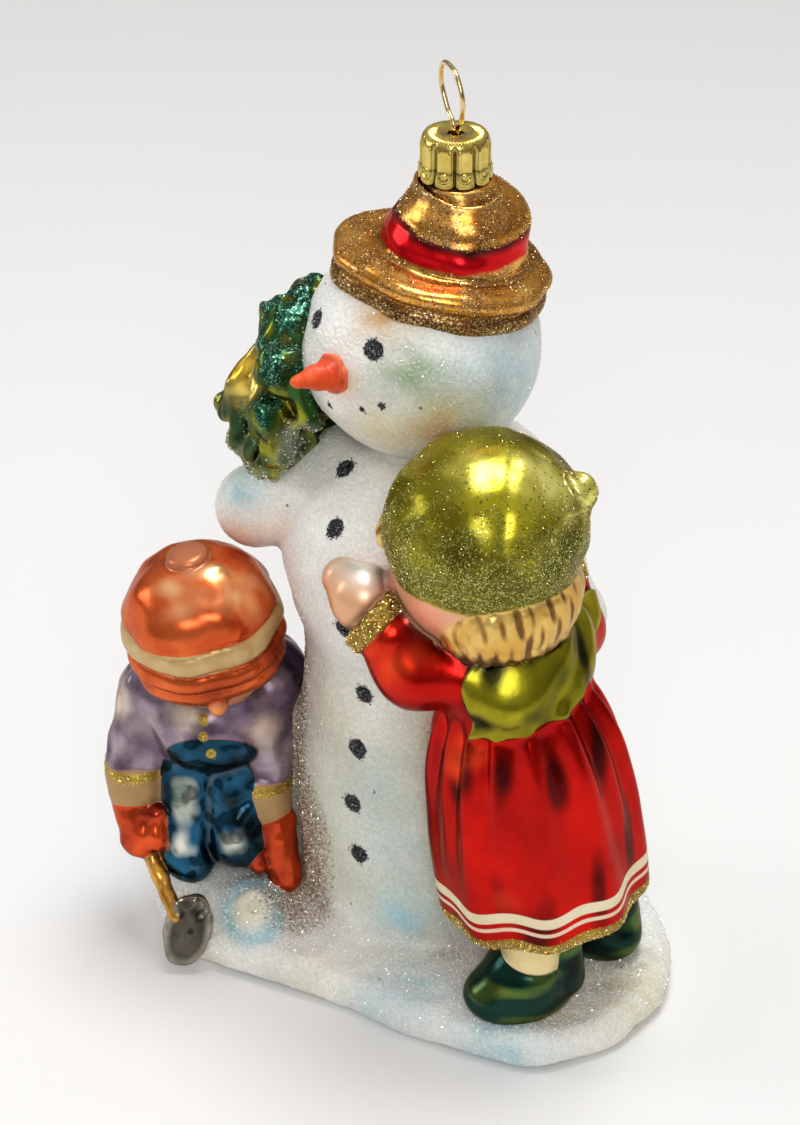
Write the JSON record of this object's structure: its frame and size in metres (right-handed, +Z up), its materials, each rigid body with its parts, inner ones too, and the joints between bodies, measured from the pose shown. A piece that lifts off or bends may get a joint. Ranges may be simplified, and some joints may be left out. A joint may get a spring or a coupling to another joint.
{
  "type": "snowman christmas ornament",
  "caption": "Blown-glass snowman with a fir tree, a girl and a kneeling boy on a snow base, with a carrot nose, a fluted cap and a wire hanger loop.",
  "frame": {"origin": "on the flat underside, on the snowman's upright axis", "axes": "+Z up; the snowman faces -Y; the girl stands on +X and the boy kneels on -X"},
  "size_m": [0.0851, 0.0647, 0.1439],
  "materials": {
    "painted_glass": "frosted pearl white lacquer over silvered glass",
    "copper_lacquer": "satin copper brown lacquer with gold glitter",
    "fir_lacquer": "deep green lacquer with teal glitter",
    "girl_lacquer": "red, olive and cream lacquer with gold glitter",
    "boy_lacquer": "orange copper, lilac and blue lacquer with gold glitter",
    "glitter": "sparkling flakes glued on",
    "black_glitter": "black flakes glued on as coal dots",
    "carrot": "satin orange red",
    "gold_cap": "bright gold coloured stamped metal",
    "gold_wire": "bright gold coloured spring wire"
  },
  "bodies": {
    "root": {"glass_body": "painted_glass", "carrot_nose": "carrot", "cap": "gold_cap", "hanger_wire": "gold_wire"}
  },
  "joints": []
}
